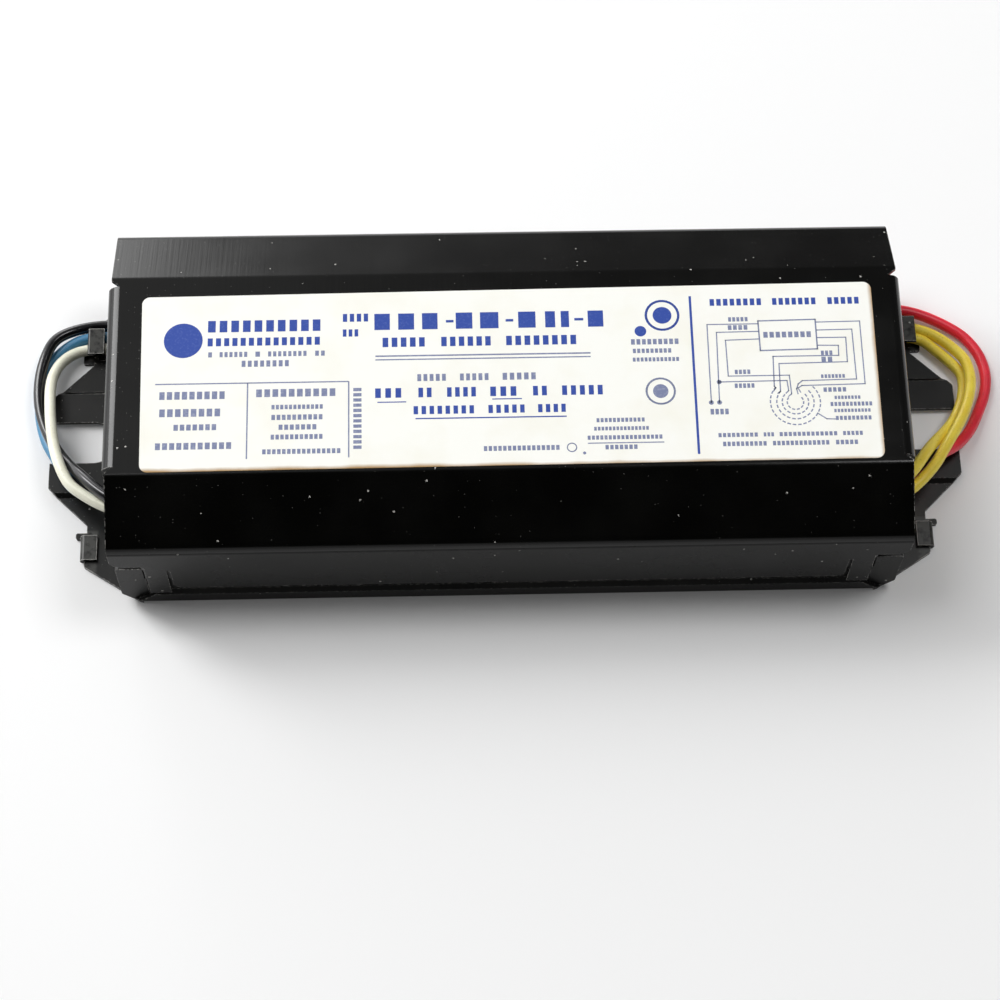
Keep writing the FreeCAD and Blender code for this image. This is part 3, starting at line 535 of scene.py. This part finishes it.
def printed_marks_tree():
    """Points that carry a size, a turn and a round sign become flat bars and discs of ink."""
    tree = bpy.data.node_groups.new("printed_marks", "GeometryNodeTree")
    sockets = tree.interface
    sockets.new_socket("Places", in_out="INPUT", socket_type="NodeSocketGeometry")
    sockets.new_socket("Ink", in_out="INPUT", socket_type="NodeSocketMaterial")
    sockets.new_socket("Disc Sides", in_out="INPUT", socket_type="NodeSocketInt").default_value = 32
    sockets.new_socket("Marks", in_out="OUTPUT", socket_type="NodeSocketGeometry")
    given = step(tree, "NodeGroupInput").outputs
    size = step(tree, "GeometryNodeInputNamedAttribute", {"Name": "size"},
                data_type="FLOAT_VECTOR").outputs[0]
    turn = step(tree, "GeometryNodeInputNamedAttribute", {"Name": "turn"},
                data_type="FLOAT_VECTOR").outputs[0]
    is_round = step(tree, "GeometryNodeInputNamedAttribute", {"Name": "is_round"},
                    data_type="BOOLEAN").outputs[0]
    is_bar = step(tree, "FunctionNodeBooleanMath", {0: is_round}, operation="NOT").outputs[0]
    block = step(tree, "GeometryNodeMeshCube", {"Size": (1.0, 1.0, 1.0)}).outputs[0]
    disc = step(tree, "GeometryNodeMeshCylinder", {"Vertices": given["Disc Sides"], "Radius": 0.5,
                                                   "Depth": 1.0}).outputs[0]
    joined = step(tree, "GeometryNodeJoinGeometry")
    for shape, chosen in ((block, is_bar), (disc, is_round)):
        placed = step(tree, "GeometryNodeInstanceOnPoints", {
            "Points": given["Places"], "Instance": shape, "Selection": chosen, "Rotation": turn,
            "Scale": size})
        tree.links.new(placed.outputs[0], joined.inputs[0])
    solid = step(tree, "GeometryNodeRealizeInstances", {0: joined.outputs[0]})
    inked = step(tree, "GeometryNodeSetMaterial", {"Geometry": solid.outputs[0], "Material": given["Ink"]})
    tree.links.new(inked.outputs[0], step(tree, "NodeGroupOutput").inputs[0])
    return tree


def ink_finish(name, ink, worn):
    finish, tree, shader = new_finish(name)
    patchy = ramp(tree, noise(tree, 2.2, 4.0), 0.50, 0.72, 0.0, 0.55)
    tree.links.new(blend_colours(tree, patchy, ink, worn), shader.inputs["Base Color"])
    shader.inputs["Roughness"].default_value = 0.5
    shader.inputs["Specular IOR Level"].default_value = 0.3
    return finish


def printed(name, ink_marks, finish, tree):
    """One piece of print: the ink stands 0.012 mm proud of the paper and 0.008 mm sunk in it."""
    places = bpy.data.meshes.new(name + "_places")
    places.from_pydata([(x * MM, y * MM, (paper_top + 0.002) * MM) for x, y, *_ in ink_marks], [], [])
    sizes = [v for m in ink_marks for v in (m[2] * MM, m[3] * MM, ink_thickness * MM)]
    turns = [v for m in ink_marks for v in (0.0, 0.0, m[4])]
    for attribute, values in (("size", sizes), ("turn", turns)):
        places.attributes.new(attribute, "FLOAT_VECTOR", "POINT").data.foreach_set("vector", values)
    rounds = [bool(m[5]) for m in ink_marks]
    places.attributes.new("is_round", "BOOLEAN", "POINT").data.foreach_set("value", rounds)
    carrier = bpy.data.objects.new(name + "_places", places)
    scene.collection.objects.link(carrier)
    maker = carrier.modifiers.new("marks", "NODES")
    maker.node_group = tree
    for item in tree.interface.items_tree:
        if item.name == "Ink":
            maker[item.identifier] = finish
    graph = bpy.context.evaluated_depsgraph_get()
    mesh = bpy.data.meshes.new_from_object(carrier.evaluated_get(graph), depsgraph=graph)
    bpy.data.objects.remove(carrier)
    piece = bpy.data.objects.new(name, mesh)
    scene.collection.objects.link(piece)
    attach(piece, "root")


marks_tree = printed_marks_tree()
royal_blue = ink_finish("royal_blue_ink", (0.024, 0.066, 0.350, 1), (0.08, 0.13, 0.42, 1))
slate_blue = ink_finish("slate_blue_ink", (0.19, 0.22, 0.36, 1), (0.42, 0.45, 0.55, 1))
printed("strong_print", marks["strong"], royal_blue, marks_tree)
printed("faint_print", marks["faint"], slate_blue, marks_tree)


# ---------------------------------------------------------------- potting compound
# Hot asphalt filled with sand, poured round the core and coils: black, glossy and slightly wavy
# where it shows at the open ends.
def plain_finish(name, colour, other, rough, metallic=0.0, scale=0.5, relief=0.15):
    finish, tree, shader = new_finish(name)
    cloud = noise(tree, scale, 4.0)
    tone = blend_colours(tree, ramp(tree, cloud, 0.35, 0.68), colour, other)
    tree.links.new(tone, shader.inputs["Base Color"])
    tree.links.new(ramp(tree, cloud, 0.3, 0.7, rough, rough + 0.15), shader.inputs["Roughness"])
    shader.inputs["Metallic"].default_value = metallic
    relief_node = step(tree, "ShaderNodeBump", {"Height": cloud, "Strength": relief, "Distance": 0.0004})
    tree.links.new(relief_node.outputs[0], shader.inputs["Normal"])
    return finish


def finish_node(name, finish):
    node = nodes[name]
    for index in range(len(node.data.materials)):
        node.material_slots[index].material = finish


finish_node("potting", plain_finish("asphalt_potting", (0.006, 0.005, 0.004, 1), (0.012, 0.010, 0.008, 1),
                                    0.35, scale=0.35, relief=0.8))


# ---------------------------------------------------------------- core, coils and capacitor
# The works inside the potting: silicon steel laminations, paper, card bobbins with enamelled copper,
# a can capacitor with its resistor, a thermal protector and crimped lead splices.
lamination = plain_finish("core_lamination", (0.16, 0.16, 0.17, 1), (0.10, 0.10, 0.11, 1), 0.35, 1.0, 0.4)
kraft = plain_finish("kraft_paper", (0.42, 0.27, 0.13, 1), (0.34, 0.21, 0.10, 1), 0.70, 0.0, 0.6)
pressboard = plain_finish("pressboard", (0.50, 0.40, 0.24, 1), (0.42, 0.32, 0.18, 1), 0.75, 0.0, 0.6)
enamelled_copper = plain_finish("enamelled_copper", (0.60, 0.22, 0.09, 1), (0.48, 0.15, 0.06, 1), 0.25, 1.0,
                                2.0, 0.5)
tinned = plain_finish("tinned_steel", (0.62, 0.62, 0.60, 1), (0.50, 0.50, 0.49, 1), 0.30, 1.0, 0.8)
resistor_coat = plain_finish("resistor_coat", (0.30, 0.16, 0.08, 1), (0.24, 0.12, 0.06, 1), 0.45, 0.0, 1.5)
protector_case = plain_finish("protector_case", (0.50, 0.50, 0.50, 1), (0.42, 0.42, 0.43, 1), 0.35, 1.0, 0.8)
for node_name, finish in {
        "core_e_stack": lamination, "core_i_stack": lamination, "magnetic_shunts": lamination,
        "core_gap_paper": kraft, "floor_liner": kraft,
        "primary_wrap": kraft, "secondary_wrap": kraft, "filament_wrap": kraft,
        "primary_bobbin": pressboard, "secondary_bobbin": pressboard, "filament_bobbin": pressboard,
        "capacitor_card": pressboard,
        "primary_winding": enamelled_copper, "secondary_winding": enamelled_copper,
        "filament_winding": enamelled_copper,
        "capacitor": tinned, "capacitor_terminals": tinned, "lead_splices": tinned,
        "bleed_resistor": resistor_coat, "thermal_protector": protector_case}.items():
    finish_node(node_name, finish)


# ---------------------------------------------------------------- bench and light
# A plain pale bench in a dim room. A tall soft lamp stands at the left rear, two small ones hang
# overhead, a bright window is low in the rear on the left, and a pale wall is low in front.
bench_mesh = bpy.data.meshes.new("bench")
reach = 3.0
bench_corners = [(-reach, -reach, 0), (reach, -reach, 0), (reach, reach, 0), (-reach, reach, 0)]
bench_mesh.from_pydata(bench_corners, [], [(0, 1, 2, 3)])
bench = bpy.data.objects.new("bench", bench_mesh)
scene.collection.objects.link(bench)
bench_finish, bench_tree, bench_shader = new_finish("pale_bench")
bench_shader.inputs["Base Color"].default_value = (0.90, 0.90, 0.90, 1)
bench_shader.inputs["Roughness"].default_value = 0.8
bench_shader.inputs["Specular IOR Level"].default_value = 0.1
bench_shader.inputs["Emission Color"].default_value = (1, 1, 1, 1)
rays = step(bench_tree, "ShaderNodeLightPath").outputs
seen = sum_of(bench_tree, "MAXIMUM", rays["Is Camera Ray"],
              sum_of(bench_tree, "MAXIMUM", rays["Is Glossy Ray"], rays["Is Transmission Ray"]))
own_glow = sum_of(bench_tree, "MULTIPLY", seen, 0.06)
bench_tree.links.new(own_glow, bench_shader.inputs["Emission Strength"])
bench_mesh.materials.append(bench_finish)


def soft_lamp(name, place, size, power):
    lamp_data = bpy.data.lights.new(name, "AREA")
    lamp_data.shape = "RECTANGLE"
    lamp_data.size, lamp_data.size_y = size
    lamp_data.energy = power
    lamp = bpy.data.objects.new(name, lamp_data)
    scene.collection.objects.link(lamp)
    lamp.location = place
    lamp.rotation_euler = (-Vector(place)).to_track_quat("-Z", "Y").to_euler()


soft_lamp("left_lamp", (-0.85, 0.57, 0.78), (0.38, 0.80), 10)
soft_lamp("overhead_left", (-0.50, 0.18, 1.20), (0.4, 0.4), 2.8)
soft_lamp("overhead_right", (0.50, 0.18, 1.20), (0.4, 0.4), 4.3)

room = bpy.data.worlds.new("room")
room.use_nodes = True
scene.world = room
tree = room.node_tree
direction = step(tree, "ShaderNodeTexCoord").outputs["Generated"]
toward = step(tree, "ShaderNodeSeparateXYZ", {0: direction}).outputs
leftward = sum_of(tree, "MULTIPLY", toward[0], -1.0)
rearward = ramp(tree, toward[1], -0.10, 0.30, smooth=True)
near_glow = ramp(tree, leftward, 0.08, 0.16, 0.0, 5.2, True)
height_fade = ramp(tree, toward[2], 0.25, 0.60, 1.0, 0.0, True)
far_fade = ramp(tree, leftward, 0.22, 0.40, 1.0, 0.30, True)
middle_glow = ramp(tree, leftward, -0.02, 0.10, 0.0, 0.55)
dim_glow = ramp(tree, leftward, -0.16, -0.02, 0.13, 0.25)
window = sum_of(tree, "MULTIPLY", sum_of(tree, "MULTIPLY", near_glow, far_fade), height_fade)
daylight = sum_of(tree, "ADD", window, sum_of(tree, "ADD", middle_glow, dim_glow))
rear_part = sum_of(tree, "MULTIPLY", rearward, daylight)
low_wall = ramp(tree, toward[2], 0.34, 0.12, 0.0, 1.0, True)
front_level = ramp(tree, leftward, -0.15, 0.15, 0.55, 0.60)
frontward = sum_of(tree, "SUBTRACT", 1.0, rearward)
front_part = sum_of(tree, "MULTIPLY", frontward, sum_of(tree, "MULTIPLY", low_wall, front_level))
room_level = 0.02
level = sum_of(tree, "ADD", sum_of(tree, "ADD", rear_part, front_part), room_level)
tree.links.new(level, tree.nodes["Background"].inputs["Strength"])
tree.nodes["Background"].inputs["Color"].default_value = (1, 1, 1, 1)
scene.view_settings.view_transform = "Standard"
